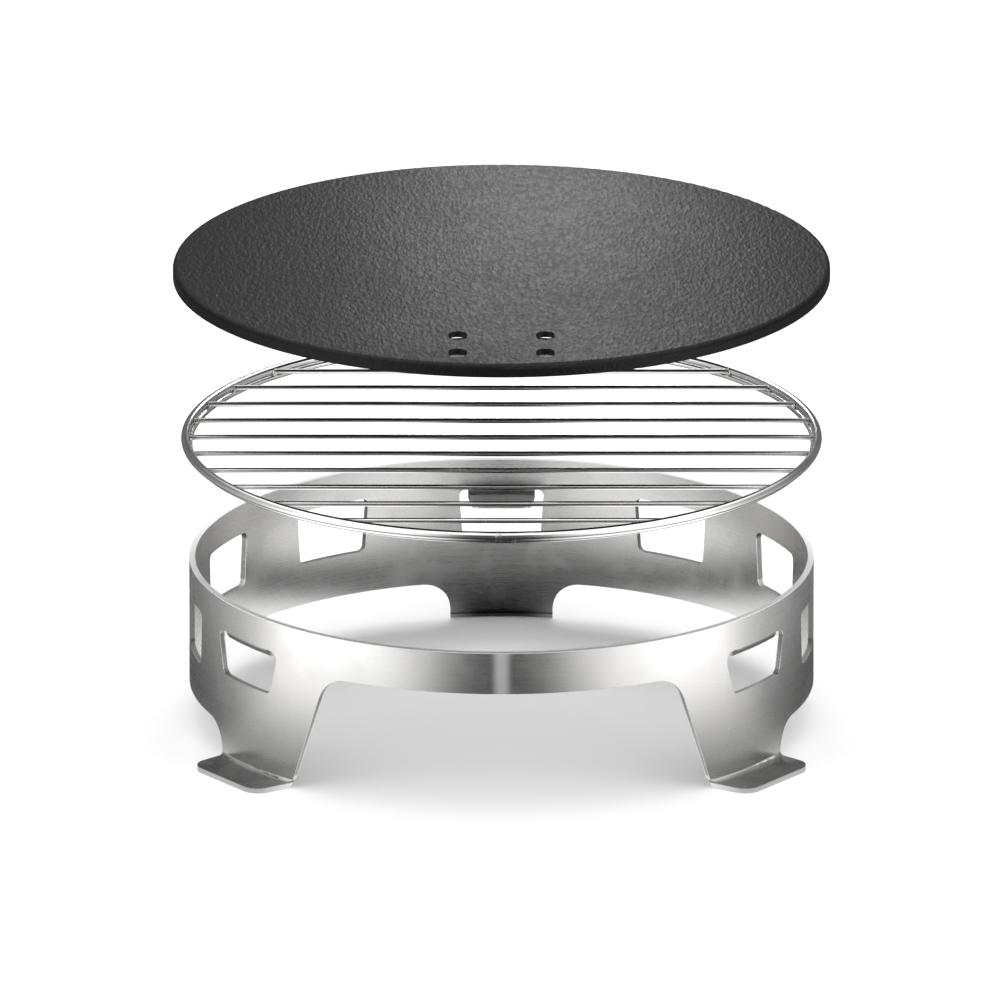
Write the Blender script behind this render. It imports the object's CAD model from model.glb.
"""Looks for the portable tabletop grill: steel and coating materials, welds, studio and camera."""

import math
import random

import bmesh
import bpy
from mathutils import Matrix, Vector, noise


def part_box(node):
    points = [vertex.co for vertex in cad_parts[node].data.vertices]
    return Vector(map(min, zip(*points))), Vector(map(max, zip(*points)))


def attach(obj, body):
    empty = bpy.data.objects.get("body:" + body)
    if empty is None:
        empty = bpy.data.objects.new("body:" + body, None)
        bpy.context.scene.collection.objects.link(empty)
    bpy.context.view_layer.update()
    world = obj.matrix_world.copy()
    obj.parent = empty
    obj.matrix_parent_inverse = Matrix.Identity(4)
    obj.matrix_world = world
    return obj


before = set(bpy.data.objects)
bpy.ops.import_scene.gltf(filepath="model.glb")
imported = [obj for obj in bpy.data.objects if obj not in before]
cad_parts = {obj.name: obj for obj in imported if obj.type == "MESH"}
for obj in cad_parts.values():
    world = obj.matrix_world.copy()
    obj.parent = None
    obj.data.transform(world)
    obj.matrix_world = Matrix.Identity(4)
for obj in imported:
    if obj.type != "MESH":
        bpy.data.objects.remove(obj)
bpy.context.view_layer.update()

MM = 0.001
RODS = sorted(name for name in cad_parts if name.startswith("rod_"))


# ---------------------------------------------------------------- places read from the frame

def centre_of(node):
    lo, hi = (Vector(corner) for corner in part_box(node))
    return (lo + hi) / 2


def size_of(node):
    lo, hi = (Vector(corner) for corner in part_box(node))
    return hi - lo


# The wall is the widest part of the stand from left to right, so its faces follow from the box.
SHEET_T = 3 * MM
stand_out_r = size_of("ring_stand").x / 2
stand_in_r = stand_out_r - SHEET_T
stand_h = size_of("ring_stand").z
rim_wire_r = size_of("grate_rim").z / 2
rim_r = size_of("grate_rim").x / 2 - rim_wire_r
rim_z = centre_of("grate_rim").z
support_wire_r = size_of("grate_support_ring").z / 2
support_r = size_of("grate_support_ring").x / 2 - support_wire_r
support_z = centre_of("grate_support_ring").z
plate_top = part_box("griddle_plate")[1][2]

VIEW_ELEVATION = math.radians(18.2)


# ---------------------------------------------------------------- building node graphs

class Graph:
    """A material's or a world's nodes, added with short calls."""

    def __init__(self, tree):
        self.tree = tree

    def add(self, kind, inputs=None, **settings):
        node = self.tree.nodes.new(kind)
        for name, value in settings.items():
            setattr(node, name, value)
        for name, value in (inputs or {}).items():
            if isinstance(value, bpy.types.NodeSocket):
                self.tree.links.new(value, node.inputs[name])
            else:
                node.inputs[name].default_value = value
        return node

    def calc(self, operation, *values):
        node = self.add("ShaderNodeMath", dict(enumerate(values)), operation=operation)
        return node.outputs[0]

    def stretch(self, vector, by):
        """A vector multiplied part by part: small factors draw a pattern out."""
        node = self.add("ShaderNodeVectorMath", {0: vector, 1: by}, operation="MULTIPLY")
        return node.outputs[0]

    def product(self, a, b):
        return self.calc("MULTIPLY", a, b)

    def total(self, a, b):
        return self.calc("ADD", a, b)

    def from_axis(self, axes):
        """Distance from the upright axis of the grill."""
        squares = self.total(self.product(axes[0], axes[0]), self.product(axes[1], axes[1]))
        return self.calc("POWER", squares, 0.5)

    def combine(self, x, y, z):
        return self.add("ShaderNodeCombineXYZ", {0: x, 1: y, 2: z}).outputs[0]

    def noise(self, vector, scale, detail=3.0, roughness=0.55, distortion=0.0):
        return self.add("ShaderNodeTexNoise", {
            "Vector": vector, "Scale": scale, "Detail": detail,
            "Roughness": roughness, "Distortion": distortion}).outputs["Fac"]

    def span(self, value, low, high, to_low=0.0, to_high=1.0):
        """Maps low..high to to_low..to_high, clamped and eased: the way every mask is made."""
        return self.add("ShaderNodeMapRange", {
            0: value, 1: low, 2: high, 3: to_low, 4: to_high},
            interpolation_type="SMOOTHSTEP").outputs[0]

    def mix(self, share, a, b):
        node = self.add("ShaderNodeMix", {0: share, 6: a, 7: b}, data_type="RGBA")
        return node.outputs[2]

    def bump(self, height, distance, strength=1.0, normal=None):
        inputs = {"Height": height, "Distance": distance, "Strength": strength}
        if normal is not None:
            inputs["Normal"] = normal
        return self.add("ShaderNodeBump", inputs).outputs[0]


def new_material(name):
    material = bpy.data.materials.new(name)
    material.use_nodes = True
    graph = Graph(material.node_tree)
    shader = material.node_tree.nodes["Principled BSDF"]
    place = graph.add("ShaderNodeTexCoord").outputs["Object"]
    axes = graph.add("ShaderNodeSeparateXYZ", {0: place}).outputs
    return material, graph, shader, place, axes


def connect(graph, shader, **sockets):
    names = {"colour": "Base Color", "roughness": "Roughness", "normal": "Normal",
             "tangent": "Tangent"}
    for name, value in sockets.items():
        graph.tree.links.new(value, shader.inputs[names[name]])


def grey(value, warmth=0.0):
    return (value * (1 + warmth), value, value * (1 - warmth), 1.0)


# ---------------------------------------------------------------- materials

def cut_edges(g, radius, height):
    """Masks the laser-cut edges: only they lie between the sheet's two faces."""
    mask = g.product(g.span(radius, stand_in_r + 0.1 * MM, stand_in_r + 0.5 * MM),
                     g.span(radius, stand_out_r - 0.5 * MM, stand_out_r - 0.1 * MM, 1.0, 0.0))
    above_feet = g.span(height, 6.0 * MM, 8.0 * MM)
    below_rim = g.span(height, stand_h - 1.2 * MM, stand_h - 0.6 * MM, 1.0, 0.0)
    return g.product(g.product(mask, above_feet), below_rim)


def foot_tops(g, height):
    """Masks the upper faces of the feet, one sheet's thickness above the ground."""
    return g.product(g.span(height, SHEET_T - 0.25 * MM, SHEET_T - 0.05 * MM),
                     g.span(height, SHEET_T + 0.3 * MM, SHEET_T + 1.4 * MM, 1.0, 0.0))


def ground_edges(g, height):
    """Masks the rim's top face and the sheet's edge along the ground."""
    return g.total(g.span(height, stand_h - 0.5 * MM, stand_h - 0.3 * MM),
                   g.span(height, SHEET_T - 0.7 * MM, SHEET_T - 0.4 * MM, 1.0, 0.0))


def brushed_sheet(name):
    """Stainless sheet brushed round the ring, with a ground weld where its ends meet."""
    material, g, shader, place, axes = new_material(name)
    height = axes[2]
    radius = g.from_axis(axes)
    # Height on the wall, and reach on a foot or a tab, both run across the brushing.
    lines = g.combine(axes[0], axes[1], g.calc("SUBTRACT", height, radius))
    fine = g.noise(g.stretch(lines, (22, 22, 7000)), 1.0, 4.0, 0.7)
    coarse = g.noise(g.stretch(lines, (9, 9, 1800)), 1.0, 3.0, 0.6)
    streaks = g.total(g.product(fine, 0.75), g.product(coarse, 0.25))
    clouds = g.noise(place, 9.0, 2.0)
    smears = g.noise(place, 38.0, 4.0, 0.6, 0.4)

    # The weld that closes the ring is at the middle of the front, and is brushed upright.
    seam = g.product(g.span(g.calc("ABSOLUTE", axes[0]), 0.5 * MM, 6.5 * MM, 1.0, 0.0),
                     g.calc("LESS_THAN", axes[1], 0.0))
    seam_grain = g.noise(g.stretch(place, (2600, 2600, 60)), 1.0, 3.0)
    cut = cut_edges(g, radius, height)
    cut_grain = g.noise(place, 1500.0, 2.0)
    scuffed = g.product(foot_tops(g, height), g.span(smears, 0.3, 0.7, 0.95, 0.75))
    ground = ground_edges(g, height)

    tone = g.mix(g.span(streaks, 0.35, 0.68), grey(0.63, 0.008), grey(0.67, 0.008))
    tone = g.mix(g.span(clouds, 0.40, 0.75, 0.0, 0.3), tone, grey(0.55, 0.015))
    tone = g.mix(g.product(cut, g.span(cut_grain, 0.3, 0.7, 0.7, 1.0)), tone, grey(0.23, 0.02))
    tone = g.mix(scuffed, tone, grey(0.13, 0.01))
    tone = g.mix(ground, tone, grey(0.88))
    tone = g.mix(g.product(seam, g.span(seam_grain, 0.3, 0.7, 0.4, 0.7)), tone,
                 grey(0.82, 0.005))

    rough = g.total(g.span(streaks, 0.3, 0.7, 0.24, 0.30), g.span(smears, 0.45, 0.75, 0.0, 0.06))
    for mask, extra in ((seam, 0.28), (cut, 0.15), (ground, 0.3)):
        rough = g.total(rough, g.product(mask, extra))
    normal = g.bump(streaks, 0.004 * MM, 0.3)
    normal = g.bump(clouds, 0.15 * MM, 0.25, normal)
    round_the_ring = g.add("ShaderNodeTangent", direction_type="RADIAL", axis="Z").outputs[0]
    connect(g, shader, colour=tone, roughness=rough, normal=normal, tangent=round_the_ring)
    shader.inputs["Metallic"].default_value = 1.0
    shader.inputs["Anisotropic"].default_value = 0.6
    return material


def polished_wire(name, is_rod):
    """Polished stainless wire with faint drawing lines, dulled by heat beside its welds."""
    material, g, shader, place, axes = new_material(name)
    radius = g.from_axis(axes)
    wear = g.noise(place, 55.0, 4.0, 0.65)
    if is_rod:
        lines = g.stretch(place, (40, 3800, 3800))
        heat = g.span(radius, rim_r - 9 * MM, rim_r - 2.5 * MM)
    else:
        lines = g.combine(g.product(axes[0], 25.0), g.product(axes[1], 25.0),
                          g.product(g.total(axes[2], radius), 3600.0))
        heat = g.span(wear, 0.58, 0.80, 0.0, 0.35)
    drawn = g.noise(lines, 1.0, 3.0, 0.6)
    heat = g.product(heat, g.span(wear, 0.25, 0.6, 0.35, 0.9))

    tone = g.mix(g.span(drawn, 0.3, 0.7), grey(0.70, 0.006), grey(0.84, 0.006))
    tone = g.mix(heat, tone, (0.30, 0.28, 0.26, 1.0))
    rough = g.total(g.span(drawn, 0.3, 0.7, 0.13, 0.20), g.span(wear, 0.5, 0.8, 0.0, 0.08))
    rough = g.total(rough, g.product(heat, 0.18))
    normal = g.bump(drawn, 0.01 * MM, 0.4)
    normal = g.bump(wear, 0.08 * MM, 0.3, normal)
    connect(g, shader, colour=tone, roughness=rough, normal=normal)
    shader.inputs["Metallic"].default_value = 1.0
    return material


def weld_metal(name):
    """Weld beads: rippled, and darker and duller than the wire."""
    material, g, shader, place, _ = new_material(name)
    ripples = g.noise(place, 1500.0, 3.0, 0.6, 0.5)
    tint = g.noise(place, 420.0, 2.0)
    tone = g.mix(g.span(tint, 0.35, 0.65), grey(0.46, 0.01), grey(0.64, 0.01))
    tone = g.mix(g.span(ripples, 0.55, 0.8, 0.0, 0.6), tone, grey(0.34, 0.02))
    connect(g, shader, colour=tone, roughness=g.span(ripples, 0.3, 0.7, 0.18, 0.34),
            normal=g.bump(ripples, 0.10 * MM, 0.4))
    shader.inputs["Metallic"].default_value = 1.0
    return material


def pebbled_coating(name):
    """Black heat-proof coating with a pebbled skin, worn a little paler on top."""
    material, g, shader, place, axes = new_material(name)
    # The grain of the skin runs longer front to back.
    skin = g.stretch(place, (1, 0.36, 1))
    pebbles = g.add("ShaderNodeTexVoronoi", {
        "Vector": skin, "Scale": 600.0, "Randomness": 1.0, "Smoothness": 0.6},
        feature="SMOOTH_F1").outputs["Distance"]
    lumps = g.noise(skin, 500.0, 4.0, 0.6, 0.4)
    fine = g.noise(place, 1400.0, 2.0)
    clouds = g.noise(place, 7.0, 2.0)
    relief = g.total(g.product(pebbles, -0.7), g.product(lumps, 1.3))

    tone = g.mix(g.span(lumps, 0.35, 0.7), grey(0.005), grey(0.011))
    tone = g.mix(g.span(clouds, 0.35, 0.7, 0.0, 0.3), tone, grey(0.007))
    # The turned-down rim keeps the coating's full black, away from wear.
    on_top = g.span(axes[2], plate_top - 1.6 * MM, plate_top - 0.3 * MM)
    tone = g.mix(on_top, grey(0.0015), tone)
    rough = g.total(g.span(lumps, 0.3, 0.7, 0.52, 0.42), g.span(clouds, 0.4, 0.7, 0.0, 0.06))
    normal = g.bump(relief, 0.40 * MM, 0.8)
    normal = g.bump(fine, 0.04 * MM, 0.4, normal)
    connect(g, shader, colour=tone, roughness=rough, normal=normal)
    shader.inputs["Specular IOR Level"].default_value = 0.16
    return material


# How bright the studio is from the front (0) round to the back (1), the same on both sides.
STUDIO_STOPS = (
    (0.0, 0.08), (0.01, 0.10), (0.03, 0.75), (0.07, 1.5), (0.20, 2.2), (0.33, 2.1),
    (0.42, 0.95), (0.55, 0.6), (0.70, 0.34), (0.85, 0.20), (1.0, 0.14),
)
STUDIO_BRIGHTEST = max(value for _, value in STUDIO_STOPS)


def light_round_about(g, axes):
    """The studio's brightness in the compass direction of a vector given by its axes."""
    backwards = g.calc("DIVIDE", axes[1], g.from_axis(axes))
    part_round = g.calc("MULTIPLY_ADD", backwards, 0.5, 0.5)
    ramp = g.add("ShaderNodeValToRGB", {0: part_round})
    while len(ramp.color_ramp.elements) < len(STUDIO_STOPS):
        ramp.color_ramp.elements.new(0.5)
    for element, (place, value) in zip(ramp.color_ramp.elements, STUDIO_STOPS):
        element.position = place
        element.color = grey(value / STUDIO_BRIGHTEST)
    return g.product(ramp.outputs[0], STUDIO_BRIGHTEST)


def blend(g, share, a, b):
    """Number a where the share is 0, and b where it is 1."""
    return g.total(g.product(b, share), g.product(a, g.calc("SUBTRACT", 1.0, share)))


def pale_floor(name):
    """White paper. Reflections see the studio's light carried on over it, as a glossy sweep
    would: dim close to the stand and, inside the ring, dim along the middle."""
    material, g, shader, place, axes = new_material(name)
    grain = g.noise(place, 220.0, 2.0)
    drift = g.noise(place, 1.5, 2.0)
    tone = g.mix(g.span(drift, 0.3, 0.7), grey(0.91), grey(0.93))
    connect(g, shader, colour=tone, roughness=g.span(grain, 0.3, 0.7, 0.75, 0.9))
    shader.inputs["Specular IOR Level"].default_value = 0.1

    from_axis = g.from_axis(axes)
    outside = g.product(light_round_about(g, axes), g.span(from_axis, 0.18, 0.42, 0.18, 1.0))
    inside = g.span(g.calc("ABSOLUTE", axes[0]), 0.010, 0.058, 0.0, 1.45)
    light = blend(g, g.span(from_axis, 0.13, 0.19), inside, outside)
    glow = g.add("ShaderNodeEmission", {"Strength": light}).outputs[0]
    reflected = g.add("ShaderNodeLightPath").outputs["Is Glossy Ray"]
    both = g.add("ShaderNodeMixShader", {0: reflected, 1: shader.outputs[0], 2: glow})
    g.tree.links.new(both.outputs[0], material.node_tree.nodes["Material Output"].inputs["Surface"])
    return material


STEEL = brushed_sheet("stand_brushed_steel")
RING_WIRE = polished_wire("grate_ring_wire", is_rod=False)
ROD_WIRE = polished_wire("grate_rod_wire", is_rod=True)
WELD = weld_metal("grate_weld_metal")
COATING = pebbled_coating("plate_pebbled_coating")
FLOOR = pale_floor("studio_floor")


def give(obj, material):
    obj.data.materials.clear()
    obj.data.materials.append(material)


# ---------------------------------------------------------------- the CAD nodes' finish

give(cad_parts["ring_stand"], STEEL)
give(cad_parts["grate_rim"], RING_WIRE)
give(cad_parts["grate_support_ring"], RING_WIRE)
for rod in RODS:
    give(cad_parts[rod], ROD_WIRE)
give(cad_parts["griddle_plate"], COATING)


# ---------------------------------------------------------------- welds of the grate

def mesh_object(name, bm):
    for face in bm.faces:
        face.smooth = True
    mesh = bpy.data.meshes.new(name)
    bm.to_mesh(mesh)
    bm.free()
    obj = bpy.data.objects.new(name, mesh)
    bpy.context.scene.collection.objects.link(obj)
    return obj


def add_bead(bm, centre, along, up, sizes, seed):
    """A rippled weld bead: a rounded lump, long along one direction, uneven on its skin."""
    side = up.cross(along).normalized()
    turn = Matrix((along, side, up)).transposed()
    lump = bmesh.ops.create_icosphere(bm, subdivisions=3, radius=1.0)["verts"]
    for vert in lump:
        p = vert.co.copy()
        ripple = 0.05 * math.cos(9 * p.x + seed)
        swell = 0.22 * noise.noise(p * 1.9 + Vector((seed, 0, 0)))
        p *= 1 + ripple + swell
        vert.co = centre + turn @ Vector((p.x * sizes[0], p.y * sizes[1], p.z * sizes[2]))


def rod_welds():
    """One bead at each end of each rod, lying along the rim where the rod meets it."""
    inward, drop = 0.75 * MM, 0.55 * MM
    random.seed(11)
    bm = bmesh.new()
    up = Vector((0, 0, 1))
    for name in RODS:
        middle, half_length = centre_of(name), size_of(name).x / 2
        for side in (-1, 1):
            end = middle + Vector((side * half_length, 0, 0))
            outward = Vector((end.x, end.y, 0)).normalized()
            along = Vector((-outward.y, outward.x, 0))
            sizes = [random.uniform(low, high) * MM
                     for low, high in ((1.9, 2.5), (1.3, 1.6), (1.35, 1.6))]
            add_bead(bm, end - outward * inward - up * drop, along, up, sizes,
                     random.uniform(0, 20))
    return mesh_object("grate_rod_welds", bm)


def ring_butt_weld(name, ring_r, ring_z, wire_r, angle, seed):
    """The slightly swollen collar where a ring's wire ends are welded together."""
    around, steps = 28, 14
    half_length = 0.8 * wire_r
    bm = bmesh.new()
    rows = []
    for j in range(steps + 1):
        t = 2 * j / steps - 1
        swell = wire_r * (0.985 + 0.07 * (1 - t * t) ** 1.5)
        turn = math.radians(angle) + t * half_length / ring_r
        row = []
        for i in range(around):
            a = 2 * math.pi * i / around
            spot = Vector((math.cos(a) * 2, math.sin(a) * 2, t * 4 + seed))
            bulge = swell * (1 + 0.02 * noise.noise(spot))
            r = ring_r + bulge * math.cos(a)
            row.append(bm.verts.new((r * math.sin(turn), -r * math.cos(turn),
                                     ring_z + bulge * math.sin(a))))
        rows.append(row)
    for first, second in zip(rows, rows[1:]):
        for i in range(around):
            k = (i + 1) % around
            bm.faces.new((first[i], second[i], second[k], first[k]))
    bm.faces.new(rows[0])
    bm.faces.new(rows[-1][::-1])
    bmesh.ops.recalc_face_normals(bm, faces=bm.faces)
    return mesh_object(name, bm)


welds = [
    rod_welds(),
    ring_butt_weld("grate_rim_butt_weld", rim_r, rim_z, rim_wire_r, angle=-0.5, seed=3.0),
    ring_butt_weld("grate_support_butt_weld", support_r, support_z, support_wire_r,
                   angle=2.2, seed=8.0),
]
for weld in welds:
    give(weld, WELD)
    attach(weld, "grate")


# ---------------------------------------------------------------- studio

def make_floor():
    """A wide pale floor, so that it fills the view from any low angle."""
    bm = bmesh.new()
    bmesh.ops.create_circle(bm, cap_ends=True, segments=96, radius=26.0)
    floor = mesh_object("studio_floor", bm)
    give(floor, FLOOR)


def make_world():
    """Soft studio light all round: bright overhead and at both sides, dim from the front.
    The camera itself sees a plain white backdrop."""
    overhead_light, backdrop = 1.75, 1.0
    world = bpy.data.worlds.new("studio")
    bpy.context.scene.world = world
    world.use_nodes = True
    g = Graph(world.node_tree)
    background = world.node_tree.nodes["Background"]
    background.inputs["Color"].default_value = grey(1.0)
    towards = g.add("ShaderNodeTexCoord").outputs["Generated"]
    axes = g.add("ShaderNodeSeparateXYZ", {0: towards}).outputs
    light = blend(g, g.span(axes[2], 0.42, 0.80), light_round_about(g, axes), overhead_light)
    seen = g.add("ShaderNodeLightPath").outputs["Is Camera Ray"]
    g.tree.links.new(blend(g, seen, light, backdrop), background.inputs["Strength"])


def make_softbox():
    """A softbox behind and above, which puts a broad sheen on the middle of the plate."""
    distance = 0.55
    data = bpy.data.lights.new("softbox", "AREA")
    data.shape = "RECTANGLE"
    data.size, data.size_y = 0.14, 0.10
    data.energy = 0.42
    aim = Vector((0.025, 0.0, plate_top))
    away = Vector((0, math.cos(VIEW_ELEVATION), math.sin(VIEW_ELEVATION)))
    light = bpy.data.objects.new("softbox", data)
    light.location = aim + away * distance
    light.rotation_euler = away.to_track_quat("Z", "Y").to_euler()
    light.visible_camera = False
    bpy.context.scene.collection.objects.link(light)


def make_camera():
    """Looks down on the front from far off, so that the view is close to parallel."""
    distance, view_width = 20.0, 0.512
    target = Vector((-0.77 * MM, 0, 0.116))
    data = bpy.data.cameras.new("camera")
    data.sensor_width = 36.0
    data.lens = data.sensor_width * distance / view_width
    data.clip_start, data.clip_end = 0.1, 60.0
    back = Vector((0, -math.cos(VIEW_ELEVATION), math.sin(VIEW_ELEVATION)))
    camera = bpy.data.objects.new("camera", data)
    camera.location = target + back * distance
    camera.rotation_euler = (math.radians(90) - VIEW_ELEVATION, 0, 0)
    bpy.context.scene.collection.objects.link(camera)
    bpy.context.scene.camera = camera


make_floor()
make_world()
make_softbox()
make_camera()
bpy.context.scene.view_settings.view_transform = "Standard"
